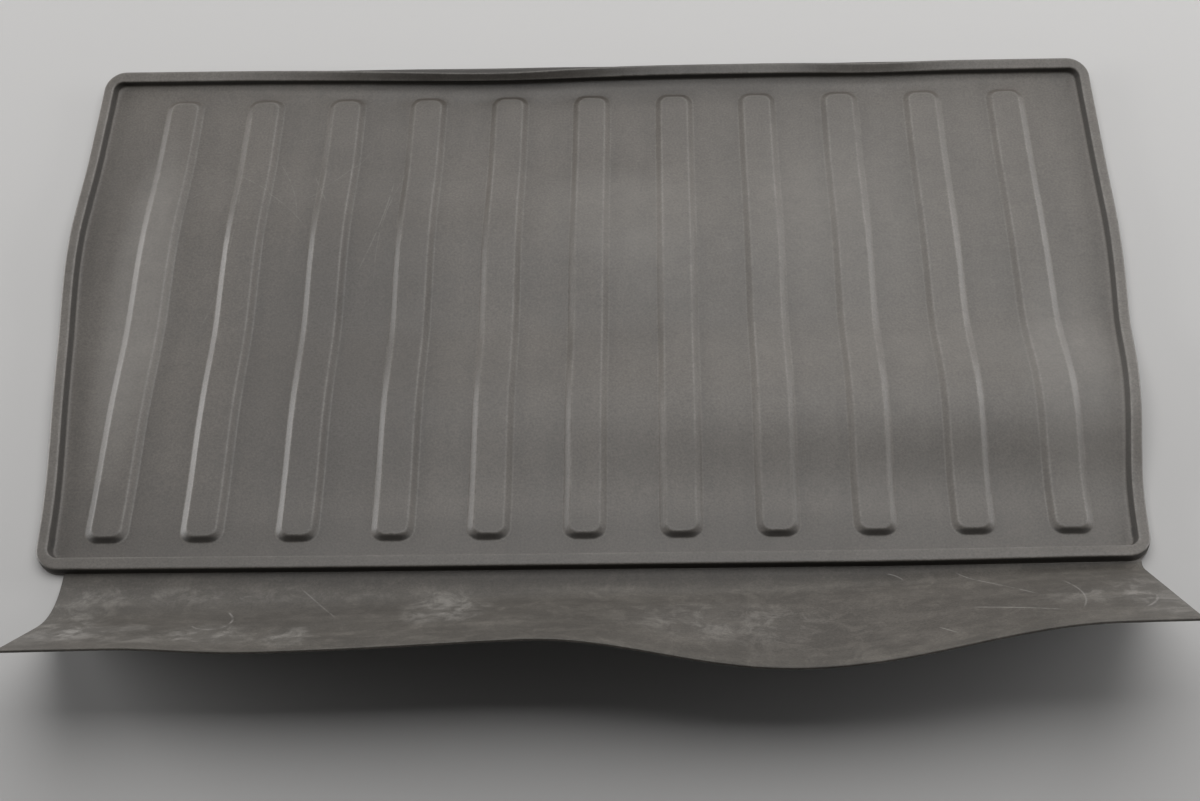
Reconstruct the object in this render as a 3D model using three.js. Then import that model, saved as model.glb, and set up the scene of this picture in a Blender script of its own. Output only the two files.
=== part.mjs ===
import * as THREE from 'three';

// Sizes are in millimetres. X runs across the mat, Y runs away from the flap and Z is up.
// Plan places are given as u (across) and v (along the sheet, zero at the middle of the tray).

// Outline of the tray, seen from above
const TRAY_HALF_WIDTH_FAR = 532;
const TAPER_LEFT = 32;
const TAPER_RIGHT = 26;
const TAPER_STARTS_V = 95;
const TAPER_ENDS_V = -306;
const TRAY_DEPTH = 606;
const CORNER_RADIUS = 24;

// Formed sheet and raised rim
const SHEET = 2.4;
const RIM_HEIGHT = 10.6;
const RIM_WALL_DRAFT = 0.4;
const RIM_EDGE_ROUND = 0.8;
const RIM_TOP_WIDTH = 10.8;
const RIM_INNER_DROP_WIDTH = 2.6;
const RIM_SIDE_SPREAD = 2;
const FOOT_EASE = 0.7;

// Eleven ribs that run from the far rim to the near rim
const RIB_COUNT = 11;
const RIB_PITCH = 88;
const RIB_BASE_HALF_WIDTH = 20;
const RIB_TOP_HALF_WIDTH = 13.5;
const RIB_MIDDLE_V = -3;
const RIB_BASE_HALF_LENGTH = 270;
const RIB_END_SLOPE = 6;
const RIB_HEIGHT = 4;
const RIB_BASE_CORNER = 12.5;
const RIB_TOP_CORNER = 8.5;
const RIB_UNDERSIDE_INSET = 1.4;
const RIB_CORNER_ANGLES = [0, 30, 60, 90];

// Flap that carries on from the foot of the near rim. Its left edge is set in from the end of
// the rounded corner, its right edge from the side of the tray.
const FLAP_LEFT_IN = 4;
const FLAP_RIGHT_IN = 11;
const FLAP_LEFT_U = FLAP_LEFT_IN + CORNER_RADIUS + TAPER_LEFT - TRAY_HALF_WIDTH_FAR;
const FLAP_RIGHT_U = TRAY_HALF_WIDTH_FAR - TAPER_RIGHT - FLAP_RIGHT_IN;
const FLAP_LENGTH = 176;
const FLAP_ROWS = [8, 18, 30, 44, 60, 78, 98, 122, 148, FLAP_LENGTH];

// Curl of the flap, in degrees at its free edge and in millimetres from its root
const CURL_END_LEFT = 54;
const CURL_END_RIGHT = 50;
const CURL_START_LEFT = -15;
const CURL_SPAN_LEFT = 110;
const CURL_SPAN_RIGHT = 15;
const CURL_SAGS = [
  { u: 180, left: 229, right: 251, drop: 11.5 },
  { u: -268, left: 120, right: 290, drop: 2.4 },
];

// Low waves that the soft mat lies in. Each is a smooth hump with its own middle and reach.
const WAVES = [
  { name: 'middle rise', u: -100, left: 800, right: 850, v: 70, near: 130, far: 120, lift: 14 },
  { name: 'near rise', u: 480, left: 1300, right: 900, v: -130, near: 110, far: 110, lift: 20 },
  { name: 'far rim curl', u: 0, left: 3000, right: 3000, v: 336, near: 65, far: 65, lift: 18 },
  { name: 'tighter curl left of the middle', u: -105, left: 330, right: 225, v: 336, near: 65, far: 65, lift: 20.5 },
  { name: 'tighter curl on the right', u: 300, left: 130, right: 120, v: 336, near: 65, far: 65, lift: 12 },
  { name: 'near right curl', u: 560, left: 330, right: 330, v: -336, near: 65, far: 65, lift: 9 },
];

// Spacing of the mesh and the place of the origin
const ROW_COUNT = 20;
const ARC_STEPS = 4;
const LENGTH_STEPS = 48;
const ORIGIN_Y = -70.4;

const RUBBER = new THREE.MeshStandardMaterial({ color: 0x6b6763, roughness: 0.62, metalness: 0 });

const halfDepth = TRAY_DEPTH / 2;
const rowEnd = RIB_BASE_HALF_LENGTH - RIB_BASE_CORNER;
const rimFootInset = RIM_WALL_DRAFT + RIM_EDGE_ROUND + RIM_TOP_WIDTH + RIM_INNER_DROP_WIDTH;

function clamp01(t) {
  return Math.min(Math.max(t, 0), 1);
}

function easeStep(t) {
  const s = clamp01(t);
  return s * s * (3 - 2 * s);
}

function hump(t) {
  const s = Math.min(Math.abs(t), 1);
  return 0.5 + 0.5 * Math.cos(Math.PI * s);
}

function humpSlope(t) {
  const s = Math.min(Math.max(t, -1), 1);
  return -0.5 * Math.PI * Math.sin(Math.PI * s);
}

function liftAt(u, v) {
  let lift = 0;
  let rise = 0;
  for (const wave of WAVES) {
    const across = hump((u - wave.u) / (u < wave.u ? wave.left : wave.right));
    const reach = v < wave.v ? wave.near : wave.far;
    lift += wave.lift * across * hump((v - wave.v) / reach);
    rise += (wave.lift * across * humpSlope((v - wave.v) / reach)) / reach;
  }
  return { lift, rise };
}

function lengthAlong(u, v) {
  let total = 0;
  for (let k = 0; k < LENGTH_STEPS; k += 1) {
    const { rise } = liftAt(u, (v * (k + 0.5)) / LENGTH_STEPS);
    total += Math.sqrt(1 - rise * rise);
  }
  return (v * total) / LENGTH_STEPS;
}

function flapAngle(u, t) {
  const { rise } = liftAt(u, -halfDepth);
  const start = -Math.asin(rise);
  const share = clamp01((u - FLAP_LEFT_U) / (FLAP_RIGHT_U - FLAP_LEFT_U));
  let sag = 0;
  for (const place of CURL_SAGS) {
    sag += place.drop * hump((u - place.u) / (u < place.u ? place.left : place.right));
  }
  const end = CURL_END_LEFT + (CURL_END_RIGHT - CURL_END_LEFT) * share - sag;
  const from = CURL_START_LEFT * (1 - share);
  const span = CURL_SPAN_LEFT + (CURL_SPAN_RIGHT - CURL_SPAN_LEFT) * share;
  const mix = easeStep((t - from) / span);
  return start * (1 - mix) + THREE.MathUtils.degToRad(end) * mix;
}

// Puts a place of the flat pattern, at height z above the underside, where the lying mat has it.
function layDown(u, v, z) {
  if (v >= -halfDepth) {
    const { lift, rise } = liftAt(u, v);
    const lean = Math.sqrt(1 - rise * rise);
    return [u, lengthAlong(u, v) - z * rise - ORIGIN_Y, lift + z * lean];
  }
  const t = -halfDepth - v;
  let out = 0;
  let up = 0;
  for (let k = 0; k < LENGTH_STEPS; k += 1) {
    const angle = flapAngle(u, (t * (k + 0.5)) / LENGTH_STEPS);
    out += (t * Math.cos(angle)) / LENGTH_STEPS;
    up += (t * Math.sin(angle)) / LENGTH_STEPS;
  }
  const tip = flapAngle(u, t);
  const y = lengthAlong(u, -halfDepth) - out + z * Math.sin(tip) - ORIGIN_Y;
  return [u, y, liftAt(u, -halfDepth).lift + up + z * Math.cos(tip)];
}

function halfWidthAt(side, v) {
  const share = easeStep((TAPER_STARTS_V - v) / (TAPER_STARTS_V - TAPER_ENDS_V));
  return TRAY_HALF_WIDTH_FAR - (side < 0 ? TAPER_LEFT : TAPER_RIGHT) * share;
}

// Collects the vertices and the faces of the one closed skin.
class Skin {
  constructor() {
    this.points = [];
    this.plan = [];
    this.faces = [];
  }

  add(u, v, z) {
    this.points.push(layDown(u, v, z));
    this.plan.push([u, v, z]);
    return this.points.length - 1;
  }

  face(a, b, c, flip) {
    this.faces.push(flip ? [a, c, b] : [a, b, c]);
  }

  gap(a, b) {
    const [au, av, az] = this.plan[a];
    const [bu, bv, bz] = this.plan[b];
    return Math.hypot(au - bu, av - bv, az - bz);
  }

  // Joins two chains of vertices. Walking along them, the second lies on the right.
  strip(first, second, flip = false) {
    let i = 0;
    let j = 0;
    while (i < first.length - 1 || j < second.length - 1) {
      const canFirst = i < first.length - 1;
      const canSecond = j < second.length - 1;
      const costFirst = canFirst ? this.gap(first[i + 1], second[j]) : Infinity;
      const costSecond = canSecond ? this.gap(first[i], second[j + 1]) : Infinity;
      if (costFirst <= costSecond) {
        this.face(first[i], second[j], first[i + 1], flip);
        i += 1;
      } else {
        this.face(first[i], second[j], second[j + 1], flip);
        j += 1;
      }
    }
  }
}

function rowPlaces() {
  const share = (k) => (2 * k) / ROW_COUNT - 1;
  return Array.from({ length: ROW_COUNT + 1 }, (_, k) => RIB_MIDDLE_V + rowEnd * share(k));
}

function ribMiddles() {
  return Array.from({ length: RIB_COUNT }, (_, k) => (k - (RIB_COUNT - 1) / 2) * RIB_PITCH);
}

function cornerStation(side, end, angle) {
  const centreV = end * (halfDepth - CORNER_RADIUS);
  const centreU = side * (halfWidthAt(side, centreV) - CORNER_RADIUS);
  const turn = THREE.MathUtils.degToRad(angle);
  return (inset, spread = 0) => {
    const radius = CORNER_RADIUS - inset + spread * Math.cos(turn);
    return [centreU + side * radius * Math.cos(turn), centreV + end * radius * Math.sin(turn)];
  };
}

function sideStation(side, v) {
  return (inset, spread = 0) => [side * (halfWidthAt(side, v) - inset + spread), v];
}

function endStation(end, u) {
  return (inset) => [u, end * (halfDepth - inset)];
}

// Stations round the rim, anticlockwise from the near end of the right side.
function rimStations() {
  const rows = rowPlaces();
  const middles = ribMiddles();
  const halfSteps = [];
  for (const [k, u] of middles.entries()) {
    halfSteps.push(u);
    if (k < RIB_COUNT - 1) {
      halfSteps.push(u + RIB_PITCH / 2);
    }
  }
  const even = Array.from({ length: ARC_STEPS + 1 }, (_, k) => (90 * k) / ARC_STEPS);
  const nearCentreU = halfWidthAt(1, CORNER_RADIUS - halfDepth) - CORNER_RADIUS;
  const flapTurn = 90 - THREE.MathUtils.radToDeg(Math.asin((FLAP_RIGHT_U - nearCentreU) / CORNER_RADIUS));
  const nearRight = [90, (90 + flapTurn) / 2, flapTurn, flapTurn / 2, 0];
  const list = [];
  const put = (group, places) => places.forEach((place) => list.push({ group, place }));
  put('right', rows.map((v) => sideStation(1, v)));
  put('farRight', even.map((a) => cornerStation(1, 1, a)));
  put('far', [...halfSteps].reverse().map((u) => endStation(1, u)));
  put('farLeft', [...even].reverse().map((a) => cornerStation(-1, 1, a)));
  put('left', [...rows].reverse().map((v) => sideStation(-1, v)));
  put('nearLeft', even.map((a) => cornerStation(-1, -1, a)));
  put('flapEdge', [endStation(-1, FLAP_LEFT_U)]);
  put('near', halfSteps.map((u) => endStation(-1, u)));
  put('nearRight', nearRight.map((a) => cornerStation(1, -1, a)));
  return list;
}

function ringOf(skin, stations, inset, z, spread) {
  return stations.map(({ place }) => {
    const [u, v] = place(inset, spread);
    return skin.add(u, v, z);
  });
}

function closed(ring) {
  return [...ring, ring[0]];
}

function pick(ring, stations, group) {
  return ring.filter((_, k) => stations[k].group === group);
}

function ribEnd(skin, u, end, halfWidth, halfLength, corner, z, left, right) {
  const arc = RIB_CORNER_ANGLES.slice(1).map((a) => THREE.MathUtils.degToRad(a));
  const towards = (side, turn) => {
    const au = u + side * (halfWidth - corner + corner * Math.cos(turn));
    const av = RIB_MIDDLE_V + end * (halfLength - corner + corner * Math.sin(turn));
    return skin.add(au, av, z);
  };
  const leftArc = arc.map((turn) => towards(-1, turn));
  const rightArc = arc.map((turn) => towards(1, turn)).reverse();
  return [left, ...leftArc, ...rightArc, right];
}

// One loop of a rib: its two long sides by rows and its two rounded ends, all from left to right.
function ribLoop(skin, u, halfWidth, halfLength, corner, z) {
  const straight = halfLength - corner;
  const rows = rowPlaces().map((v) => RIB_MIDDLE_V + ((v - RIB_MIDDLE_V) / rowEnd) * straight);
  const left = rows.map((v) => skin.add(u - halfWidth, v, z));
  const right = rows.map((v) => skin.add(u + halfWidth, v, z));
  const far = ribEnd(skin, u, 1, halfWidth, halfLength, corner, z, left.at(-1), right.at(-1));
  const near = ribEnd(skin, u, -1, halfWidth, halfLength, corner, z, left[0], right[0]);
  return { left, right, far, near };
}

function addRib(skin, u, z, inset, flip) {
  const base = ribLoop(
    skin,
    u,
    RIB_BASE_HALF_WIDTH - inset,
    RIB_BASE_HALF_LENGTH - inset,
    RIB_BASE_CORNER - inset,
    z,
  );
  const top = ribLoop(
    skin,
    u,
    RIB_TOP_HALF_WIDTH - inset,
    RIB_BASE_HALF_LENGTH - RIB_END_SLOPE - inset,
    RIB_TOP_CORNER - inset,
    z + RIB_HEIGHT,
  );
  skin.strip(base.left, top.left, flip);
  skin.strip(top.left, top.right, flip);
  skin.strip(top.right, base.right, flip);
  skin.strip(base.far, top.far, flip);
  skin.strip(top.near, base.near, flip);
  const half = top.far.length / 2;
  skin.strip(top.far.slice(0, half), top.far.slice(half).reverse(), flip);
  skin.strip(top.near.slice(0, half).reverse(), top.near.slice(half), flip);
  return base;
}

// The ribbed floor inside the rim, as one side of the sheet.
function addFloor(skin, stations, ring, z, inset, flip) {
  const middles = ribMiddles();
  const ribs = middles.map((u) => addRib(skin, u, z, inset, flip));
  const rows = rowPlaces();
  const between = middles.slice(0, -1).map((u) => rows.map((v) => skin.add(u + RIB_PITCH / 2, v, z)));
  const sideRight = pick(ring, stations, 'right');
  const sideLeft = pick(ring, stations, 'left').reverse();
  const far = [
    ...pick(ring, stations, 'farLeft').reverse(),
    ...pick(ring, stations, 'far').reverse(),
    ...pick(ring, stations, 'farRight').reverse(),
  ];
  const near = [
    ...pick(ring, stations, 'nearLeft'),
    ...pick(ring, stations, 'flapEdge'),
    ...pick(ring, stations, 'near'),
    ...pick(ring, stations, 'nearRight'),
  ];
  const cutAt = (chain, u) => chain.findIndex((k) => Math.abs(skin.plan[k][0] - u) < 0.001);
  skin.strip(sideLeft, ribs[0].left, flip);
  skin.strip(ribs.at(-1).right, sideRight, flip);
  for (const [k, rib] of ribs.entries()) {
    const leftLine = k === 0 ? sideLeft : between[k - 1];
    const rightLine = k === RIB_COUNT - 1 ? sideRight : between[k];
    if (k > 0) {
      skin.strip(leftLine, rib.left, flip);
    }
    if (k < RIB_COUNT - 1) {
      skin.strip(rib.right, rightLine, flip);
    }
    const uLeft = middles[k] - RIB_PITCH / 2;
    const uRight = middles[k] + RIB_PITCH / 2;
    const farFrom = k === 0 ? 0 : cutAt(far, uLeft);
    const farTo = k === RIB_COUNT - 1 ? far.length - 1 : cutAt(far, uRight);
    const nearFrom = k === 0 ? 0 : cutAt(near, uLeft);
    const nearTo = k === RIB_COUNT - 1 ? near.length - 1 : cutAt(near, uRight);
    const farOuter = [leftLine.at(-1), ...far.slice(farFrom, farTo + 1), rightLine.at(-1)];
    const nearOuter = [leftLine[0], ...near.slice(nearFrom, nearTo + 1), rightLine[0]];
    skin.strip(farOuter, rib.far, flip);
    skin.strip(rib.near, nearOuter, flip);
  }
}

function addRings(skin, stations, profile, flip) {
  const rings = profile.map(([inset, z, spread]) => ringOf(skin, stations, inset, z, spread));
  for (let k = 0; k + 1 < rings.length; k += 1) {
    skin.strip(closed(rings[k]), closed(rings[k + 1]), flip);
  }
  return rings;
}

// Upper side of the rim, from its foot in the tray over its flat top to the outer wall.
// The third number widens the inner slope of the two sides, which lean out a little.
function upperRimProfile() {
  const topOuter = RIM_WALL_DRAFT + RIM_EDGE_ROUND;
  const topInner = topOuter + RIM_TOP_WIDTH;
  return [
    [rimFootInset, SHEET],
    [rimFootInset - FOOT_EASE, SHEET + FOOT_EASE],
    [topInner + FOOT_EASE, RIM_HEIGHT - FOOT_EASE, RIM_SIDE_SPREAD],
    [topInner, RIM_HEIGHT, RIM_SIDE_SPREAD],
    [topOuter, RIM_HEIGHT],
    [RIM_WALL_DRAFT, RIM_HEIGHT - RIM_EDGE_ROUND],
  ];
}

// Underside of the rim, which is hollow like the rest of the formed sheet.
function lowerRimProfile() {
  const topOuter = RIM_WALL_DRAFT + SHEET + FOOT_EASE;
  const topInner = RIM_WALL_DRAFT + RIM_EDGE_ROUND + RIM_TOP_WIDTH - FOOT_EASE;
  return [
    [rimFootInset - SHEET, 0],
    [topInner, RIM_HEIGHT - SHEET, RIM_SIDE_SPREAD],
    [topOuter, RIM_HEIGHT - SHEET],
    [RIM_WALL_DRAFT + SHEET, RIM_HEIGHT - SHEET - FOOT_EASE],
    [SHEET, 0],
    [0, 0],
  ];
}

function addFlap(skin, stations, wallTop, foot) {
  const first = stations.findIndex(({ group }) => group === 'flapEdge');
  const last = stations.findIndex(({ place }) => Math.abs(place(0)[0] - FLAP_RIGHT_U) < 0.001);
  const columns = stations.slice(first, last + 1).map(({ place }) => place(0));
  const upperRoot = columns.map(([u, v]) => skin.add(u, v, SHEET));
  const lowerRoot = foot.slice(first, last + 1);
  const row = (t, z) => columns.map(([u]) => skin.add(u, -halfDepth - t, z));
  const upper = [upperRoot, ...FLAP_ROWS.map((t) => row(t, SHEET))];
  const lower = [lowerRoot, ...FLAP_ROWS.map((t) => row(t, 0))];
  for (let k = 0; k + 1 < upper.length; k += 1) {
    skin.strip(upper[k], upper[k + 1]);
    skin.strip(lower[k], lower[k + 1], true);
  }
  skin.strip(upper.at(-1), lower.at(-1));
  skin.strip(upper.map((r) => r[0]), lower.map((r) => r[0]));
  skin.strip(upper.map((r) => r.at(-1)), lower.map((r) => r.at(-1)), true);
  skin.strip(wallTop.slice(first, last + 1), upperRoot);
  return { first, last, upperRoot };
}

// The outer wall down to the ground, which leaves out the stretch that the flap starts from.
function addOuterWall(skin, wallTop, foot, flap) {
  const { first, last, upperRoot } = flap;
  const before = first - 1;
  const after = last + 1;
  skin.face(wallTop[before], foot[before], foot[first]);
  skin.face(wallTop[before], foot[first], upperRoot[0]);
  skin.face(wallTop[before], upperRoot[0], wallTop[first]);
  skin.face(wallTop[after], wallTop[last], upperRoot.at(-1));
  skin.face(wallTop[after], upperRoot.at(-1), foot[last]);
  skin.face(wallTop[after], foot[last], foot[after]);
  skin.strip(
    [...wallTop.slice(after), ...wallTop.slice(0, first)],
    [...foot.slice(after), ...foot.slice(0, first)],
  );
}

function buildMat() {
  const skin = new Skin();
  const stations = rimStations();
  const upperRings = addRings(skin, stations, upperRimProfile(), false);
  const lowerRings = addRings(skin, stations, lowerRimProfile(), true);
  addFloor(skin, stations, upperRings[0], SHEET, 0, false);
  addFloor(skin, stations, lowerRings[0], 0, RIB_UNDERSIDE_INSET, true);
  const wallTop = upperRings.at(-1);
  const foot = lowerRings.at(-1);
  const flap = addFlap(skin, stations, wallTop, foot);
  addOuterWall(skin, wallTop, foot, flap);
  const geometry = new THREE.BufferGeometry();
  geometry.setAttribute('position', new THREE.Float32BufferAttribute(skin.points.flat(), 3));
  geometry.setIndex(skin.faces.flat());
  geometry.computeVertexNormals();
  const mesh = new THREE.Mesh(geometry, RUBBER);
  mesh.name = 'boot_liner_extension';
  return mesh;
}

const part = new THREE.Group();
part.name = 'boot_liner_extension_part';
part.add(buildMat());

export default part;
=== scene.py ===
import math
import bpy
import numpy as np
from mathutils import Matrix, Vector


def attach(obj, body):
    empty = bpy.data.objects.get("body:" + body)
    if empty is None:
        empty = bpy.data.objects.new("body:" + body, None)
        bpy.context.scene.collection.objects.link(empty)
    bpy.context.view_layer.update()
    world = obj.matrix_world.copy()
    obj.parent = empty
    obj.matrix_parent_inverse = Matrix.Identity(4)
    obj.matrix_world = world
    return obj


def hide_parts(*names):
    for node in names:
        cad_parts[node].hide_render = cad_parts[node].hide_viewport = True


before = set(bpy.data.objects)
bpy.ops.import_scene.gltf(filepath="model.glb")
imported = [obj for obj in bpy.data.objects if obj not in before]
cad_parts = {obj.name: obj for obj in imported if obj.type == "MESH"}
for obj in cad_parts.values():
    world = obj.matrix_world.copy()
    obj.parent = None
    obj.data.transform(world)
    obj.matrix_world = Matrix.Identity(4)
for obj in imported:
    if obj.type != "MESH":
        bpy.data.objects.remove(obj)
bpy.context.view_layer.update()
print("stage: frame loaded")

# Sizes in millimetres on the flat pattern: u runs across, v along the sheet, z above its underside.
matSizes = {
    "sheet": 2.4,
    "depth": 606.0,
    "halfWidthFar": 532.0,
    "taperLeft": 32.0,  # how far each side comes in
    "taperRight": 26.0,
    "taperFrom": 95.0,  # and between which places along it
    "taperTo": -306.0,
    "cornerRadius": 24.0,
    "originY": -70.4,
    "lengthSteps": 48,
    "sharpAngle": 42,
    "ribs": {
        "count": 11,
        "pitch": 88.0,
        "middleV": -3.0,
        "baseHalfWidth": 20.0,
        "baseHalfLength": 270.0,
        "baseCorner": 12.5,
        "cornerShrink": 0.6,  # of the inset
        "cornerAngles": (15, 30, 45, 60, 75, 90),
        "endShares": (-0.5, 0, 0.5),
        "rows": 72,
        "gapColumns": 6,
        "topColumns": 4,
        # how far in from the foot of the slope, how high, and how much wear and painted edge highlight
        "upperSlope": [
            (-1.2, 0.0, 0), (-0.7, 0.02, 0.35), (0.1, 0.2, 0.45), (0.9, 0.6, 0.1),
            (2.2, 1.35, 0), (3.8, 2.35, 0), (5.0, 3.15, 0.2), (5.8, 3.6, 0.8),
            (6.4, 3.88, 0.9), (7.1, 3.99, 0.4), (8.2, 4.0, 0),
        ],
        "lowerSlope": [(1.0, 0.0, 0), (1.9, 0.4, 0), (6.6, 3.6, 0), (7.9, 4.0, 0)],
    },
    # From the tray over the top of the rim to its outer wall: inset from the outline, height, share
    # of the spread that widens the inner slope of the two sides, and on the upper face how much wear
    # and painted edge highlight.
    "rim": {
        "upper": [
            (22.0, 2.4, 0, 0), (18.0, 2.4, 0, 0), (16.0, 2.42, 0, 0.1), (15.0, 2.6, 0, 0),
            (14.4, 3.1, 0.05, 0), (13.9, 4.0, 0.2, 0), (13.4, 6.2, 0.6, 0), (13.0, 8.6, 0.92, 0.1),
            (12.8, 9.5, 1, 0.5), (12.4, 10.1, 1, 1), (11.8, 10.5, 1, 1), (10.9, 10.6, 1, 0.6),
            (10.0, 10.6, 1, 0.3), (6.8, 10.6, 0.5, 0.25), (2.8, 10.6, 0, 0.35), (1.6, 10.5, 0, 0.8),
            (0.9, 10.1, 0, 0.8), (0.5, 9.4, 0, 0.2), (0.3, 7.0, 0, 0), (0.1, 4.4, 0, 0),
        ],
        "lower": [
            (19.0, 0.0, 0), (13.0, 0.0, 0), (12.2, 0.5, 0), (11.9, 2.8, 0.3),
            (11.4, 7.2, 1), (10.4, 8.2, 1), (4.4, 8.2, 0), (3.2, 7.9, 0),
            (2.8, 7.0, 0), (2.4, 0.0, 0), (0.0, 0.0, 0),
        ],
        "sideSpread": 2.0,
        "arcSteps": 9,
        "turnSteps": 5,
        "stationGap": 11.0,
        "farStations": (-44, 44),  # first and last along the far and the near rim, in gaps
        "nearStations": (-42, 43),
    },
    # Angles in degrees at the free edge, then how far from the root the curl starts and over what
    # length it grows.
    "flap": {
        "leftU": -472.0,
        "rightU": 495.0,
        "length": 176.0,
        "rows": 38,
        "endLeft": 54.0,
        "endRight": 50.0,
        "startLeft": -15.0,
        "spanLeft": 110.0,
        "spanRight": 15.0,
        # middle u, its reaches left and right, drop in degrees
        "sags": [(180.0, 229.0, 251.0, 11.5), (-268.0, 120.0, 290.0, 2.4)],
        "rootBlend": [(-0.35, 0.35), (-1.2, 0.0)],  # inset from the outline, height over the sheet
        "edgeRound": [(0.5, 0.05), (0.0, 0.55)],  # back from the free edge, in from each face
    },
    # Low waves that the soft mat lies in: middle u, its reaches left and right, middle v, its
    # reaches near and far, and lift.
    "waves": {
        "middleRise": (-100, 800, 850, 70, 130, 120, 14),
        "nearRise": (480, 1300, 900, -130, 110, 110, 20),
        "farRimCurl": (0, 3000, 3000, 336, 65, 65, 18),
        "tighterCurlLeft": (-105, 330, 225, 336, 65, 65, 20.5),
        "tighterCurlRight": (300, 130, 120, 336, 65, 65, 12),
        "nearRightCurl": (560, 330, 330, -336, 65, 65, 9),
    },
}

ribSizes = matSizes["ribs"]
rimSizes = matSizes["rim"]
flapSizes = matSizes["flap"]
halfDepth = matSizes["depth"] / 2
rowEnd = ribSizes["baseHalfLength"] - ribSizes["baseCorner"]
stepShares = (np.arange(matSizes["lengthSteps"]) + 0.5) / matSizes["lengthSteps"]
tolerance = 0.001


def easeStep(t):
    t = np.clip(t, 0, 1)
    return t * t * (3 - 2 * t)


def hump(t):
    return 0.5 + 0.5 * np.cos(np.pi * np.minimum(np.abs(t), 1))


def humpSlope(t):
    return -0.5 * np.pi * np.sin(np.pi * np.clip(t, -1, 1))


# height of the waves under a place, and how steeply they rise along v
def liftAt(u, v):
    lift = np.zeros_like(u)
    rise = np.zeros_like(u)
    for middleU, left, right, middleV, near, far, height in matSizes["waves"].values():
        across = height * hump((u - middleU) / np.where(u < middleU, left, right))
        reach = np.where(v < middleV, near, far)
        lift = lift + across * hump((v - middleV) / reach)
        rise = rise + across * humpSlope((v - middleV) / reach) / reach
    return lift, rise


# y of a place, so that the sheet keeps its length over the waves
def lengthAlong(u, v):
    total = np.zeros_like(u)
    for share in stepShares:
        rise = liftAt(u, v * share)[1]
        total += np.sqrt(1 - rise * rise)
    return v * total / len(stepShares)


def flapAngle(u, t):
    f = flapSizes
    start = -np.arcsin(liftAt(u, np.full_like(u, -halfDepth))[1])
    share = np.clip((u - f["leftU"]) / (f["rightU"] - f["leftU"]), 0, 1)
    sag = 0
    for middle, left, right, drop in f["sags"]:
        sag = sag + drop * hump((u - middle) / np.where(u < middle, left, right))
    end = f["endLeft"] + (f["endRight"] - f["endLeft"]) * share - sag
    begin = f["startLeft"] * (1 - share)
    span = f["spanLeft"] + (f["spanRight"] - f["spanLeft"]) * share
    mix = easeStep((t - begin) / span)
    return start * (1 - mix) + np.radians(end) * mix


# bends the flat pattern to the way the mat lies, and goes from millimetres to metres
def layDown(plan):
    u, v, z = plan.T
    onTray = np.maximum(v, -halfDepth)
    lift, rise = liftAt(u, onTray)
    along = lengthAlong(u, onTray)
    places = np.stack([u, along - z * rise, lift + z * np.sqrt(1 - rise * rise)], axis=1)
    flap = v < -halfDepth
    flapU, flapV, flapZ = plan[flap].T
    t = -halfDepth - flapV
    out = np.zeros_like(t)
    up = np.zeros_like(t)
    for share in stepShares:
        angle = flapAngle(flapU, t * share)
        out += t * np.cos(angle) / len(stepShares)
        up += t * np.sin(angle) / len(stepShares)
    tip = flapAngle(flapU, t)
    places[flap, 1] = along[flap] - out + flapZ * np.sin(tip)
    places[flap, 2] = lift[flap] + up + flapZ * np.cos(tip)
    places[:, 1] -= matSizes["originY"]
    return places / 1000


def halfWidthAt(side, v):
    m = matSizes
    share = float(easeStep((m["taperFrom"] - v) / (m["taperFrom"] - m["taperTo"])))
    return m["halfWidthFar"] - (m["taperLeft"] if side < 0 else m["taperRight"]) * share


# collects the places and faces of the one closed skin, still flat
class MatSkin:
    def __init__(self):
        self.plan = []
        # wear and painted edge highlight of each place
        self.wearAndHighlight = []
        self.faces = []

    def add(self, u, v, z, wornAndHighlight=0):
        self.plan.append((u, v, z))
        self.wearAndHighlight.append(wornAndHighlight)
        return len(self.plan) - 1

    def face(self, corners, flip):
        self.faces.append(tuple(reversed(corners)) if flip else tuple(corners))

    # fills between two chains: walking along them, the second lies on the right
    def join(self, first, second, flip=False):
        if len(first) == len(second):
            for i in range(len(first) - 1):
                self.face((first[i], second[i], second[i + 1], first[i + 1]), flip)
            return
        i = j = 0
        while i < len(first) - 1 or j < len(second) - 1:
            stepFirst = stepSecond = math.inf
            if i < len(first) - 1:
                stepFirst = math.dist(self.plan[first[i + 1]], self.plan[second[j]])
            if j < len(second) - 1:
                stepSecond = math.dist(self.plan[first[i]], self.plan[second[j + 1]])
            if stepFirst <= stepSecond:
                self.face((first[i], second[j], first[i + 1]), flip)
                i += 1
            else:
                self.face((first[i], second[j], second[j + 1]), flip)
                j += 1


def rowPlaces():
    share = np.linspace(-1, 1, ribSizes["rows"] + 1)
    return [ribSizes["middleV"] + rowEnd * s for s in share]


def ribMiddles():
    half = (ribSizes["count"] - 1) / 2
    return [(k - half) * ribSizes["pitch"] for k in range(ribSizes["count"])]


# A station is a place on the outline, as a function of the inset from it.
def sideStation(side, v):
    return lambda inset, spread=0: (side * (halfWidthAt(side, v) - inset + spread), v)


def endStation(end, u):
    return lambda inset, spread=0: (u, end * (halfDepth - inset))


def cornerStation(side, end, angle):
    radius = matSizes["cornerRadius"]
    centreV = end * (halfDepth - radius)
    centreU = side * (halfWidthAt(side, centreV) - radius)
    across, along = math.cos(math.radians(angle)), math.sin(math.radians(angle))
    return lambda inset, spread=0: (
        centreU + side * (radius - inset + spread * across) * across,
        centreV + end * (radius - inset + spread * across) * along,
    )


def gapPlaces(reach):
    first, last = reach
    return [k * rimSizes["stationGap"] for k in range(first, last + 1)]


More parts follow.
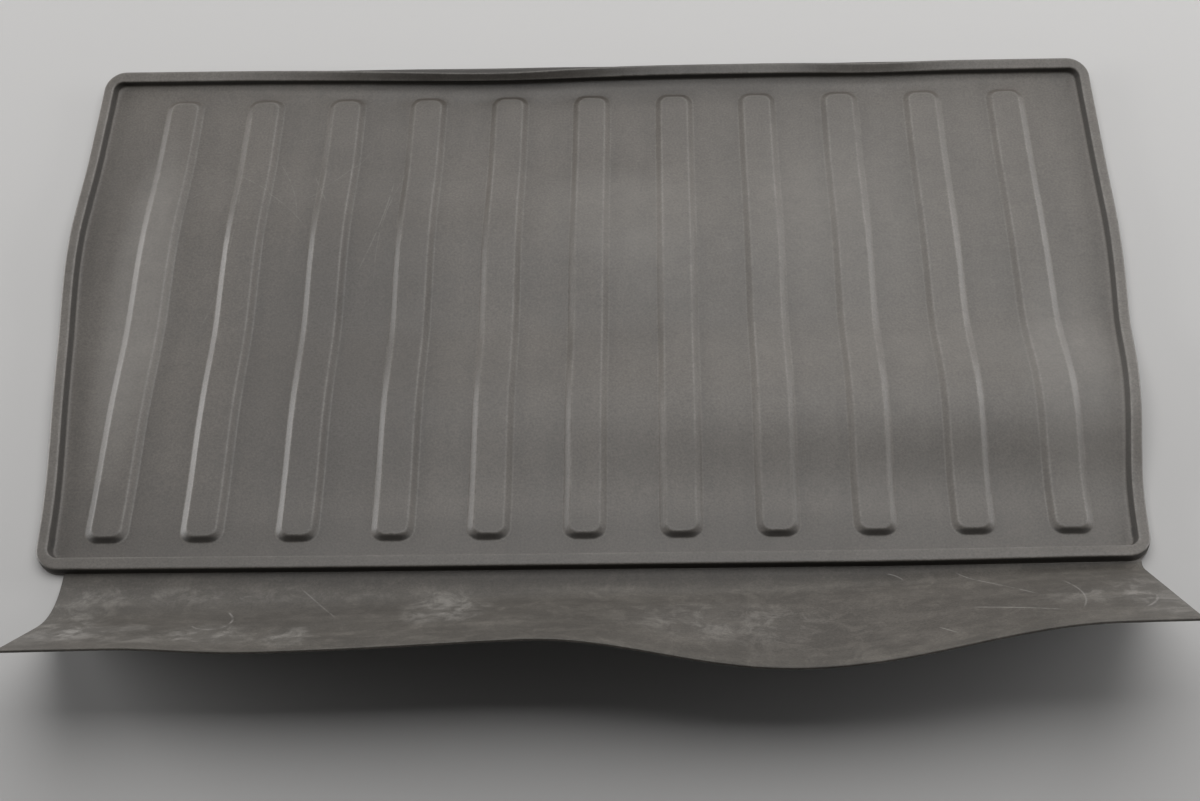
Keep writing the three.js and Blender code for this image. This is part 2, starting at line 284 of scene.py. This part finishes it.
# all round the outline, from the near end of the right side
def rimStations():
    rows = rowPlaces()
    steps = rimSizes["arcSteps"]
    arc = [90 * k / steps for k in range(steps + 1)]
    radius = matSizes["cornerRadius"]
    nearCentreU = halfWidthAt(1, radius - halfDepth) - radius
    flapTurn = math.degrees(math.acos((flapSizes["rightU"] - nearCentreU) / radius))
    turns = rimSizes["turnSteps"]
    nearRight = [90 + (flapTurn - 90) * k / turns for k in range(turns + 1)]
    nearRight += [flapTurn * (1 - k / turns) for k in range(1, turns + 1)]
    groups = {
        "right": [sideStation(1, v) for v in rows],
        "farRight": [cornerStation(1, 1, angle) for angle in arc],
        "far": [endStation(1, u) for u in reversed(gapPlaces(rimSizes["farStations"]))],
        "farLeft": [cornerStation(-1, 1, angle) for angle in reversed(arc)],
        "left": [sideStation(-1, v) for v in reversed(rows)],
        "nearLeft": [cornerStation(-1, -1, angle) for angle in arc],
        "flapEdge": [endStation(-1, flapSizes["leftU"])],
        "near": [endStation(-1, u) for u in gapPlaces(rimSizes["nearStations"])],
        "nearRight": [cornerStation(1, -1, angle) for angle in nearRight],
    }
    return [(group, place) for group, places in groups.items() for place in places]


def ringOf(skin, stations, inset, z, spread, wornAndHighlight=0):
    spread = spread * rimSizes["sideSpread"]
    return [skin.add(*place(inset, spread), z, wornAndHighlight) for _, place in stations]


def pick(ring, stations, *groups):
    return [k for group in groups for k, (name, _) in zip(ring, stations) if name == group]


# one level of a rib: its two long sides and its two rounded ends
def ribLoop(skin, u, inset, z, wornAndHighlight):
    r = ribSizes
    halfWidth = r["baseHalfWidth"] - inset
    halfLength = r["baseHalfLength"] - inset
    corner = r["baseCorner"] - r["cornerShrink"] * inset
    straight = halfLength - corner
    rows = [r["middleV"] + (v - r["middleV"]) / rowEnd * straight for v in rowPlaces()]
    left = [skin.add(u - halfWidth, v, z, wornAndHighlight) for v in rows]
    right = [skin.add(u + halfWidth, v, z, wornAndHighlight) for v in rows]
    loop = {"left": left, "right": right}
    arc = []
    for angle in map(math.radians, r["cornerAngles"]):
        arc.append((halfWidth - corner + corner * math.cos(angle), straight + corner * math.sin(angle)))
    places = [(-across, along) for across, along in arc]
    places += [(share * (halfWidth - corner), halfLength) for share in r["endShares"]]
    places += reversed(arc)
    for name, end, row in (("far", 1, -1), ("near", -1, 0)):
        middle = [skin.add(u + across, r["middleV"] + end * along, z, wornAndHighlight) for across, along in places]
        loop[name] = [left[row]] + middle + [right[row]]
    return loop


def addRib(skin, u, z, slope, flip):
    loops = [ribLoop(skin, u, inset, z + height, wornAndHighlight) for inset, height, wornAndHighlight in slope]
    for outer, inner in zip(loops, loops[1:]):
        skin.join(outer["left"], inner["left"], flip)
        skin.join(inner["right"], outer["right"], flip)
        skin.join(outer["far"], inner["far"], flip)
        skin.join(inner["near"], outer["near"], flip)
    top = loops[-1]
    columns = [top["left"]]
    for k in range(1, ribSizes["topColumns"]):
        share = k / ribSizes["topColumns"]
        column = []
        for a, b in zip(top["left"], top["right"]):
            leftU, v, height = skin.plan[a]
            column.append(skin.add(leftU * (1 - share) + skin.plan[b][0] * share, v, height))
        columns.append(column)
    columns.append(top["right"])
    for a, b in zip(columns, columns[1:]):
        skin.join(a, b, flip)
    skin.join(top["far"][1:-1], [column[-1] for column in columns], flip)
    skin.join([column[0] for column in columns], top["near"][1:-1], flip)
    return loops[0]


def betweenColumns(skin, leftChain, rightChain, count):
    chains = []
    for k in range(1, count):
        share = k / count
        chains.append([
            skin.add(*(np.array(skin.plan[a]) * (1 - share) + np.array(skin.plan[b]) * share))
            for a, b in zip(leftChain, rightChain)
        ])
    return chains


# one face of the tray inside the rim, with the ribs in it
def addFloor(skin, stations, ring, z, slope, flip):
    middles = ribMiddles()
    columns = ribSizes["gapColumns"]
    ribs = [addRib(skin, u, z, slope, flip) for u in middles]
    sideLeft = pick(ring, stations, "left")[::-1]
    sideRight = pick(ring, stations, "right")
    far = pick(ring, stations, "farRight", "far", "farLeft")[::-1]
    near = pick(ring, stations, "nearLeft", "flapEdge", "near", "nearRight")
    gaps = []
    for k in range(len(ribs) + 1):
        a = sideLeft if k == 0 else ribs[k - 1]["right"]
        b = sideRight if k == len(ribs) else ribs[k]["left"]
        inner = betweenColumns(skin, a, b, columns)
        chains = [a] + inner + [b]
        for first, second in zip(chains, chains[1:]):
            skin.join(first, second, flip)
        gaps.append(inner)

    def cutAt(chain, u):
        return next(k for k, p in enumerate(chain) if abs(skin.plan[p][0] - u) < tolerance)

    # the ends of the ribs and gaps, one pitch at a time, out to the ring
    half = columns // 2
    last = len(ribs) - 1
    for k, rib in enumerate(ribs):
        leftCut = middles[k] - ribSizes["pitch"] / 2
        rightCut = middles[k] + ribSizes["pitch"] / 2
        for end, row, chain in (("far", -1, far), ("near", 0, near)):
            start = 0 if k == 0 else cutAt(chain, leftCut)
            stop = len(chain) - 1 if k == last else cutAt(chain, rightCut)
            leftPost = sideLeft[row] if k == 0 else gaps[k][half - 1][row]
            rightPost = sideRight[row] if k == last else gaps[k + 1][half - 1][row]
            outer = [leftPost] + chain[start:stop + 1] + [rightPost]
            leftInner = gaps[k] if k == 0 else gaps[k][half:]
            rightInner = gaps[k + 1] if k == last else gaps[k + 1][:half - 1]
            inner = [c[row] for c in leftInner] + rib[end] + [c[row] for c in rightInner]
            if end == "far":
                skin.join(outer, inner, flip)
            else:
                skin.join(inner, outer, flip)


def addRings(skin, stations, profile, flip):
    rings = [ringOf(skin, stations, *step) for step in profile]
    for a, b in zip(rings, rings[1:]):
        skin.join(a + a[:1], b + b[:1], flip)
    return rings


def addFlap(skin, stations, wallTop, foot):
    f = flapSizes
    sheet = matSizes["sheet"]
    first = next(k for k, (group, _) in enumerate(stations) if group == "flapEdge")
    last = next(k for k, (_, place) in enumerate(stations)
                if abs(place(0)[0] - f["rightU"]) < tolerance)
    places = [place for _, place in stations[first:last + 1]]
    steps = np.linspace(0, f["length"], f["rows"] + 1)[1:-1]

    def row(t, z):
        return [skin.add(place(0)[0], -halfDepth - t, z) for place in places]

    upper = [[skin.add(*place(inset), sheet + over) for place in places]
             for inset, over in f["rootBlend"]]
    upper += [row(t, sheet) for t in steps]
    upper += [row(f["length"] - back, sheet - inwards) for back, inwards in f["edgeRound"]]
    lower = [foot[first:last + 1]]
    lower += [row(t, 0) for t in steps]
    lower += [row(f["length"] - back, inwards) for back, inwards in f["edgeRound"]]
    for a, b in zip(upper, upper[1:]):
        skin.join(a, b)
    for a, b in zip(lower, lower[1:]):
        skin.join(a, b, True)
    skin.join(upper[-1], lower[-1])
    skin.join([r[0] for r in upper], [r[0] for r in lower])
    skin.join([r[-1] for r in upper], [r[-1] for r in lower], True)
    skin.join(wallTop[first:last + 1], upper[0])
    return first, last, upper[0]


# the upright outer wall, all round but for the root of the flap
def addOuterWall(skin, wallTop, foot, flap):
    first, last, root = flap
    before, after = first - 1, last + 1
    skin.face((wallTop[before], foot[before], foot[first], root[0], wallTop[first]), False)
    skin.face((wallTop[after], wallTop[last], root[-1], foot[last], foot[after]), False)
    skin.join(wallTop[after:] + wallTop[:first], foot[after:] + foot[:first])


def buildMat():
    skin = MatSkin()
    stations = rimStations()
    upperRings = addRings(skin, stations, rimSizes["upper"], False)
    lowerRings = addRings(skin, stations, rimSizes["lower"], True)
    addFloor(skin, stations, upperRings[0], matSizes["sheet"], ribSizes["upperSlope"], False)
    addFloor(skin, stations, lowerRings[0], 0.0, ribSizes["lowerSlope"], True)
    flap = addFlap(skin, stations, upperRings[-1], lowerRings[-1])
    addOuterWall(skin, upperRings[-1], lowerRings[-1], flap)
    plan = np.array(skin.plan, float)
    mesh = bpy.data.meshes.new("ribbedMat")
    mesh.from_pydata(layDown(plan).tolist(), [], skin.faces)
    mesh.validate()
    pattern = mesh.attributes.new("pattern", "FLOAT_VECTOR", "POINT")
    pattern.data.foreach_set("vector", (plan / 1000).ravel())
    # wear and painted edge highlights, per vertex
    wearAndHighlight = mesh.attributes.new("wearAndHighlight", "FLOAT", "POINT")
    wearAndHighlight.data.foreach_set("value", skin.wearAndHighlight)
    mesh.shade_smooth()
    mesh.set_sharp_from_angle(angle=math.radians(matSizes["sharpAngle"]))
    piece = bpy.data.objects.new("ribbedMat", mesh)
    bpy.context.scene.collection.objects.link(piece)
    return piece


ribbedMat = buildMat()
matMesh = ribbedMat.data
print("stage: mat built,", len(matMesh.vertices), "vertices,", len(matMesh.polygons), "faces")


# an output of a node, so that shader maths reads as plain expressions
class Socket:
    def __init__(self, finish, link):
        self.finish = finish
        self.link = link

    def maths(self, operation, *values, clamp=False):
        settings = {"operation": operation, "use_clamp": clamp}
        inputs = {f"at{k}": value for k, value in enumerate(values)}
        return self.finish.node("ShaderNodeMath", settings, **inputs)

    def __add__(self, other):
        return self.maths("ADD", self, other)

    # a sum starts from 0, which needs no node
    def __radd__(self, other):
        return self if other == 0 else self.maths("ADD", self, other)

    def __sub__(self, other):
        return self.maths("SUBTRACT", self, other)

    def __rsub__(self, other):
        return self.maths("SUBTRACT", other, self)

    def __mul__(self, other):
        return self.maths("MULTIPLY", self, other)

    def __rmul__(self, other):
        return self.maths("MULTIPLY", self, other)

    def __truediv__(self, other):
        return self.maths("DIVIDE", self, other)

    def __rtruediv__(self, other):
        return self.maths("DIVIDE", other, self)

    def __abs__(self):
        return self.maths("ABSOLUTE", self)

    # kept between 0 and 1
    def held(self):
        return self.maths("ADD", self, 0.0, clamp=True)

    # 0 up to low, 1 from high on, smooth between
    def above(self, low, high):
        settings = {"interpolation_type": "SMOOTHSTEP"}
        return self.finish.node("ShaderNodeMapRange", settings, Value=self, From_Min=low, From_Max=high)

    def below(self, low, high):
        return 1 - self.above(low, high)


# one material and the single way its nodes are made: inputs go by name, or by place as at0, at1
class Finish:
    def __init__(self, name):
        self.material = bpy.data.materials.new(name)
        self.material.use_nodes = True
        self.tree = self.material.node_tree
        self.tree.nodes.clear()

    def node(self, kind, settings=None, output=0, **inputs):
        made = self.tree.nodes.new(kind)
        for key, value in (settings or {}).items():
            setattr(made, key, value)
        for key, value in inputs.items():
            target = made.inputs[int(key[2:]) if key.startswith("at") else key.replace("_", " ")]
            if isinstance(value, Socket):
                self.tree.links.new(value.link, target)
            elif isinstance(value, tuple) and target.type == "RGBA":
                target.default_value = (*value, 1)
            else:
                target.default_value = value
        return Socket(self, made.outputs[output]) if len(made.outputs) else None

    def mixColours(self, share, first, second, blend="MIX"):
        settings = {"data_type": "RGBA", "blend_type": blend}
        return self.node("ShaderNodeMix", settings, 2, at0=share, at6=first, at7=second)


rubberLook = {
    "trayColour": (0.087, 0.077, 0.067),
    "trayDark": (0.063, 0.056, 0.049),
    "flapColour": (0.040, 0.035, 0.029),
    "flapDust": (0.19, 0.173, 0.150),
    "scuffColour": (0.31, 0.298, 0.28),
    # painted shade: near black for the rim's walls and the near-facing ends of the ribs
    "paintedShadeColour": (0.020, 0.0175, 0.015),
    # painted shade for the dark patches
    "grimeColour": (0.030, 0.026, 0.022),
    # wear and painted edge highlights: lighter rubber on the edges of the rims and ribs
    "wornAndHighlightColour": (0.165, 0.155, 0.143),
    # how strongly that painted shade covers the walls and the rib ends
    "wallShadeShare": 0.85,
    "ribEndShadeShare": 0.9,
    # how strongly the wear and painted edge highlights cover
    "wornAndHighlightShare": 0.6,
    "smearShare": 0.5,
    "nearWornAndHighlightLoss": 0.45,  # share of the wear and painted edge highlight that the near rim lacks
    "roughness": 0.40,
    "blotchRoughness": 0.12,  # these four add to the roughness
    "flapRoughness": 0.12,
    "wallRoughness": 0.3,
    "scuffRoughness": 0.15,
    "bump": 0.22,
    "bumpDepth": 0.0006,
    "bumpShares": {"grain": 0.6, "coarseGrain": 0.8, "mottle": 1.2},
    "scratchBump": 0.8,
    "grainTone": {"grain": 0.4, "coarseGrain": 0.9},
    # scale, or one for each direction, then detail, roughness and distortion
    "noises": {
        "cloud": (5.0, 3.0, 0.5, 0.0),
        "blotch": (17.0, 4.0, 0.6, 0.4),
        "mottle": (70.0, 4.0, 0.6, 0.0),
        "grain": (1500.0, 2.0, 0.5, 0.0),
        "coarseGrain": (468.75, 2.0, 0.5, 0.0),
        "dusting": (46.0, 6.0, 0.74, 0.7),
        "streak": ((9, 60, 60), 4.0, 0.6, 0.0),
        "wipes": ((48, 7, 30), 5.0, 0.65, 0.0),
    },
    # noise, where it starts, where it is full, and its share
    "trayBlend": [("cloud", 0.36, 0.66, 0.35), ("blotch", 0.35, 0.68, 0.30),
                  ("wipes", 0.36, 0.66, 0.25), ("mottle", 0.35, 0.70, 0.20)],
    "dustBlend": [("blotch", 0.40, 0.72, 0.10), ("dusting", 0.44, 0.70, 0.16),
                  ("streak", 0.45, 0.70, 0.09)],
    # noise that breaks up the wear and painted edge highlights
    "wornAndHighlightBlend": [("mottle", 0.30, 0.70, 0.45), ("blotch", 0.35, 0.65, 0.30)],
    "wornAndHighlightLeast": 0.3,
    "flapSmearBlend": [("dusting", 0.42, 0.66, 1.3)],
    "flapSmearLeast": 0.25,
    "scratchBreaks": (0.34, 0.56),
    "scratchEnds": ((0.0, 0.12), (0.8, 1.0)),  # shares of its length where it fades in and out
    "scratchCore": 0.35,  # of the half width
    "smearBreaks": (0.7, 0.6),  # least, and what the mottle adds
    # for the painted shade patches:
    "shadeBreaks": (0.6, 0.8),  # least, and what the blotches add
    # soft edges in metres on the flat pattern
    "edges": {
        "flap": (-0.3042, -0.3034),
        "topSide": (0.0008, 0.0016),
        "sideRim": (0.470, 0.478),
        "endRim": (0.278, 0.282),
        "wallFoot": (0.0026, 0.0040),
        "wallTop": (0.0092, 0.0103),
        "nearRim": (-0.290, -0.286),
        "ribEndInner": (-0.2690, -0.2660),
        "ribEndOuter": (-0.2780, -0.2760),
        "ribFoot": (0.0025, 0.0032),
        "ribTop": (0.0058, 0.0064),
    },
    # light marks: start and end in metres on the flat pattern, half width, strength, bend
    "scratches": [
        ((-0.385, 0.165), (-0.285, 0.075), 0.0009, 0.10, 0.010),
        ((-0.330, 0.180), (-0.300, 0.090), 0.0008, 0.09, 0.006),
        ((-0.300, 0.120), (-0.230, 0.200), 0.0009, 0.08, -0.008),
        ((-0.205, 0.150), (-0.235, 0.020), 0.0010, 0.12, 0.006),
        ((-0.290, 0.160), (-0.270, 0.110), 0.0008, 0.10, 0.000),
        ((-0.365, 0.140), (-0.395, -0.060), 0.0010, 0.08, 0.014),
        ((-0.190, 0.170), (-0.215, 0.010), 0.0008, 0.09, -0.008),
        ((-0.420, 0.120), (-0.372, 0.160), 0.0008, 0.09, 0.004),
        ((0.328, -0.310), (0.390, -0.387), 0.0010, 0.34, 0.004),
        ((0.328, -0.399), (0.400, -0.438), 0.0011, 0.38, 0.002),
        ((0.416, -0.342), (0.410, -0.440), 0.0010, 0.28, 0.010),
        ((0.480, -0.402), (0.460, -0.441), 0.0014, 0.30, 0.004),
        ((0.270, -0.312), (0.284, -0.322), 0.0010, 0.30, 0.002),
        ((0.296, -0.433), (0.310, -0.454), 0.0010, 0.28, 0.000),
        ((-0.254, -0.321), (-0.212, -0.382), 0.0009, 0.20, 0.004),
        ((-0.334, -0.396), (-0.308, -0.409), 0.0013, 0.24, -0.006),
        ((-0.308, -0.409), (-0.318, -0.348), 0.0014, 0.26, -0.010),
    ],
    # pale wiped patches: middle, half sizes in metres on the flat pattern, strength
    "smears": [
        ((0.030, 0.095), (0.110, 0.075), 0.16),
        ((0.060, 0.030), (0.070, 0.060), 0.12),
        ((-0.450, 0.000), (0.040, 0.250), 0.40),
        ((0.250, 0.080), (0.120, 0.150), 0.10),
        ((0.300, 0.020), (0.300, 0.330), 0.15),
        ((0.460, -0.120), (0.060, 0.170), 0.26),
        ((-0.118, -0.370), (0.045, 0.060), 0.32),
        ((-0.430, -0.421), (0.042, 0.028), 0.34),
        ((-0.400, -0.405), (0.045, 0.020), 0.28),
        ((-0.310, -0.425), (0.040, 0.040), 0.28),
        ((-0.240, -0.436), (0.024, 0.040), 0.30),
        ((-0.350, -0.440), (0.120, 0.030), 0.14),
        ((-0.420, -0.330), (0.300, 0.014), 0.16),
        ((0.430, -0.395), (0.050, 0.035), 0.18),
        ((0.120, -0.400), (0.100, 0.050), 0.20),
        ((-0.450, -0.390), (0.040, 0.090), 0.25),
        ((0.480, -0.410), (0.030, 0.080), 0.35),
    ],
    # painted shade: darker patches on the tray and the far rim, given in the same way
    "grimePatches": [
        ((0.000, -0.280), (0.620, 0.045), 0.42),
        ((0.020, 0.285), (0.300, 0.040), 0.60),
        ((-0.235, -0.040), (0.130, 0.280), 0.42),
        ((-0.420, -0.250), (0.120, 0.060), 0.25),
        ((0.000, -0.312), (0.520, 0.014), 0.35),
        ((-0.245, -0.370), (0.110, 0.055), 0.40),
        ((-0.100, 0.297), (0.330, 0.016), 0.85),
        ((0.300, 0.297), (0.120, 0.014), 0.55),
    ],
}


# how strongly the soft patches cover each vertex
def markPatches(mesh, name, patches):
    plan = np.zeros(len(mesh.vertices) * 3)
    mesh.attributes["pattern"].data.foreach_get("vector", plan)
    u, v, _ = plan.reshape(-1, 3).T
    cover = np.zeros_like(u)
    for (middleU, middleV), (reachU, reachV), strength in patches:
        reach = ((u - middleU) / reachU) ** 2 + ((v - middleV) / reachV) ** 2
        cover += strength * (1 - easeStep(reach))
    mesh.attributes.new(name, "FLOAT", "POINT").data.foreach_set("value", cover)


def rubberFinish():
    look = rubberLook
    edges = look["edges"]
    finish = Finish("greyRubber")
    place = finish.node("ShaderNodeTexCoord", output=3)

    def attribute(name, output=2):
        return finish.node("ShaderNodeAttribute", {"attribute_name": name}, output)

    split = finish.node("ShaderNodeSeparateXYZ", Vector=attribute("pattern", 1))
    u, v, z = (Socket(finish, socket) for socket in split.link.node.outputs)

    def noise(scale, detail, roughness, distortion):
        coordinate = place
        if isinstance(scale, tuple):
            stretch = {"operation": "MULTIPLY"}
            coordinate = finish.node("ShaderNodeVectorMath", stretch, at0=place, at1=scale)
            scale = 1.0
        return finish.node(
            "ShaderNodeTexNoise",
            Vector=coordinate, Scale=scale, Detail=detail, Roughness=roughness, Distortion=distortion,
        )

    noises = {name: noise(*values) for name, values in look["noises"].items()}
    blotch, mottle = noises["blotch"], noises["mottle"]

    def blend(parts, least=0.0):
        return sum((noises[name].above(low, high) * share for name, low, high, share in parts), least)

    onFlap = v.below(*edges["flap"])
    topSide = z.above(*edges["topSide"])
    byRim = (abs(u).above(*edges["sideRim"]) + abs(v).above(*edges["endRim"])).held() * (1 - onFlap)
    # the rim's walls, which get painted shade
    wall = byRim * z.above(*edges["wallFoot"]) * z.below(*edges["wallTop"])
    # the near-facing ends of the ribs, which get painted shade
    ribEnd = v.below(*edges["ribEndInner"]) * v.above(*edges["ribEndOuter"])
    ribEnd = ribEnd * z.above(*edges["ribFoot"]) * z.below(*edges["ribTop"])

    def scratchMask(start, end, halfWidth, strength, bend):
        du, dv = end[0] - start[0], end[1] - start[1]
        length = math.hypot(du, dv)
        cu, cv = du / length, dv / length
        forward = (u - start[0]) * cu + (v - start[1]) * cv
        across = (v - start[1]) * cu - (u - start[0]) * cv
        share = forward / length
        arch = share * (1 - share) * (4 * bend)
        fadeIn, fadeOut = look["scratchEnds"]
        ends = share.above(*fadeIn) * share.below(*fadeOut)
        return abs(across - arch).below(halfWidth * look["scratchCore"], halfWidth) * ends * strength

    scratched = sum(scratchMask(*scratch) for scratch in look["scratches"])
    scratched = scratched * mottle.above(*look["scratchBreaks"]) * topSide

    least, added = look["smearBreaks"]
    dusty = blend(look["flapSmearBlend"], look["flapSmearLeast"])
    smeared = attribute("smeared") * (1 - onFlap + onFlap * dusty) * (least + mottle * added) * topSide

    # painted shade patches, broken up by the blotches
    least, added = look["shadeBreaks"]
    shadeCover = attribute("shadeCover") * (least + blotch * added)

    # wear and painted edge highlights, less on the near rim
    nearLoss = v.below(*edges["nearRim"]) * look["nearWornAndHighlightLoss"]
    wornAndHighlight = attribute("wearAndHighlight") * blend(look["wornAndHighlightBlend"], look["wornAndHighlightLeast"]) * (1 - nearLoss)

    grainTone = sum(((noises[name] - 0.5) * share for name, share in look["grainTone"].items()), 1.0)
    grainGrey = finish.node("ShaderNodeCombineColor", Red=grainTone, Green=grainTone, Blue=grainTone)

    tray = finish.mixColours(blend(look["trayBlend"]).held(), look["trayDark"], look["trayColour"])
    flap = finish.mixColours(blend(look["dustBlend"]).held(), look["flapColour"], look["flapDust"])
    colour = finish.mixColours(onFlap, tray, flap)
    # painted shade: the dark patches on the tray and the far rim
    colour = finish.mixColours(shadeCover.held(), colour, look["grimeColour"])
    # painted shade on the rim's walls and on the near-facing ends of the ribs
    colour = finish.mixColours(wall * look["wallShadeShare"], colour, look["paintedShadeColour"])
    colour = finish.mixColours((ribEnd * look["ribEndShadeShare"]).held(), colour, look["paintedShadeColour"])
    # wear and painted edge highlights
    colour = finish.mixColours((wornAndHighlight * look["wornAndHighlightShare"]).held(), colour, look["wornAndHighlightColour"])
    colour = finish.mixColours(1.0, colour, grainGrey, "MULTIPLY")
    colour = finish.mixColours((smeared * look["smearShare"]).held(), colour, look["scuffColour"])
    colour = finish.mixColours(scratched.held(), colour, look["scuffColour"])

    roughness = (
        look["roughness"] + blotch * look["blotchRoughness"] + onFlap * look["flapRoughness"]
        + wall * look["wallRoughness"] + (smeared + scratched) * look["scuffRoughness"]
    ).held()
    height = sum(noises[name] * share for name, share in look["bumpShares"].items())
    height = height + scratched * look["scratchBump"]
    bump = finish.node(
        "ShaderNodeBump", Strength=look["bump"], Distance=look["bumpDepth"], Height=height
    )
    shader = finish.node(
        "ShaderNodeBsdfPrincipled", Base_Color=colour, Roughness=roughness, Normal=bump, Metallic=0.0
    )
    finish.node("ShaderNodeOutputMaterial", Surface=shader)
    return finish.material


markPatches(matMesh, "smeared", rubberLook["smears"])
# how strongly the painted shade patches cover each vertex
markPatches(matMesh, "shadeCover", rubberLook["grimePatches"])
matMesh.materials.append(rubberFinish())
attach(ribbedMat, "root")
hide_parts("boot_liner_extension")
print("stage: rubber finish made")

studio = {
    "floorColour": (0.395, 0.389, 0.384),
    "hazeColour": (0.36, 0.355, 0.35),
    "hazeShare": 0.12,
    "hazeScale": 2.0,
    "hazeDetail": 2.0,
    "hazeEdge": (0.3, 0.7),
    "floorRoughness": 0.75,
    "floorSize": 9.0,
    "floorDrop": 0.0004,
    "worldColour": (0.80, 0.80, 0.80),
    "worldStrength": 0.020,
    # name, place and aim in metres, size, strength in watts
    "lamps": [
        ("overheadBank", (0.27, 0.82, 1.9), (0.27, 0.82, 0.0), (2.8, 2.2), 56.0),
        ("backCard", (0.2, 2.4, 0.8), (0.1, 0.2, 0.0), (3.6, 1.3), 27.0),
        ("leftCard", (-2.5, 0.5, 0.46), (-0.3, 0.1, 0.0), (2.2, 0.9), 61.0),
        ("rightCard", (2.3, 0.7, 0.44), (0.3, 0.1, 0.0), (2.0, 0.8), 36.0),
        ("nearFill", (1.15, -1.05, 0.34), (0.6, -0.45, 0.0), (0.6, 0.3), 1.6),
    ],
}


def floorFinish():
    s = studio
    finish = Finish("paleFloor")
    place = finish.node("ShaderNodeTexCoord", output=3)
    haze = finish.node(
        "ShaderNodeTexNoise", Vector=place, Scale=s["hazeScale"], Detail=s["hazeDetail"]
    )
    share = haze.above(*s["hazeEdge"]) * s["hazeShare"]
    colour = finish.mixColours(share, s["floorColour"], s["hazeColour"])
    shader = finish.node("ShaderNodeBsdfPrincipled", Base_Color=colour, Roughness=s["floorRoughness"])
    finish.node("ShaderNodeOutputMaterial", Surface=shader)
    return finish.material


def buildStudio():
    s = studio
    half = s["floorSize"] / 2
    corners = [(-half, -half, 0), (half, -half, 0), (half, half, 0), (-half, half, 0)]
    mesh = bpy.data.meshes.new("studioFloor")
    mesh.from_pydata(corners, [], [(0, 1, 2, 3)])
    floor = bpy.data.objects.new("studioFloor", mesh)
    floor.location.z = -s["floorDrop"]
    bpy.context.scene.collection.objects.link(floor)
    floor.data.materials.append(floorFinish())
    world = bpy.data.worlds.new("studioWorld")
    bpy.context.scene.world = world
    world.use_nodes = True
    background = world.node_tree.nodes["Background"]
    background.inputs["Color"].default_value = (*s["worldColour"], 1)
    background.inputs["Strength"].default_value = s["worldStrength"]
    for name, position, target, size, watts in s["lamps"]:
        data = bpy.data.lights.new(name, "AREA")
        data.shape = "RECTANGLE"
        data.size, data.size_y = size
        data.energy = watts
        lamp = bpy.data.objects.new(name, data)
        bpy.context.scene.collection.objects.link(lamp)
        lamp.location = position
        aim = Vector(target) - Vector(position)
        lamp.rotation_euler = aim.to_track_quat("-Z", "Y").to_euler()


buildStudio()
bpy.context.scene.view_settings.view_transform = "Standard"
print("stage: studio lit")

# place in metres, angles in degrees
cameraSetup = {
    "place": (0.0647, -0.8973, 1.3502),
    "pitchDown": 57.842,
    "turn": -3.539,
    "roll": -3.488,
    "focalPixels": 1667.0,
    "imageWidth": 1200,
    "sensorWidth": 36.0,
}


def buildCamera():
    c = cameraSetup
    data = bpy.data.cameras.new("photoCamera")
    data.sensor_fit = "HORIZONTAL"
    data.sensor_width = c["sensorWidth"]
    data.lens = c["sensorWidth"] * c["focalPixels"] / c["imageWidth"]
    data.dof.use_dof = False
    camera = bpy.data.objects.new("photoCamera", data)
    bpy.context.scene.collection.objects.link(camera)
    pitch, turn, roll = (math.radians(c[k]) for k in ("pitchDown", "turn", "roll"))
    forward = Vector((math.sin(turn) * math.cos(pitch), math.cos(turn) * math.cos(pitch), -math.sin(pitch)))
    level = Vector((math.cos(turn), -math.sin(turn), 0))
    upright = level.cross(forward)
    right = math.cos(roll) * level + math.sin(roll) * upright
    up = math.cos(roll) * upright - math.sin(roll) * level
    camera.location = c["place"]
    camera.rotation_mode = "QUATERNION"
    camera.rotation_quaternion = Matrix((right, up, -forward)).transposed().to_quaternion()
    bpy.context.scene.camera = camera


buildCamera()
print("stage: camera placed")
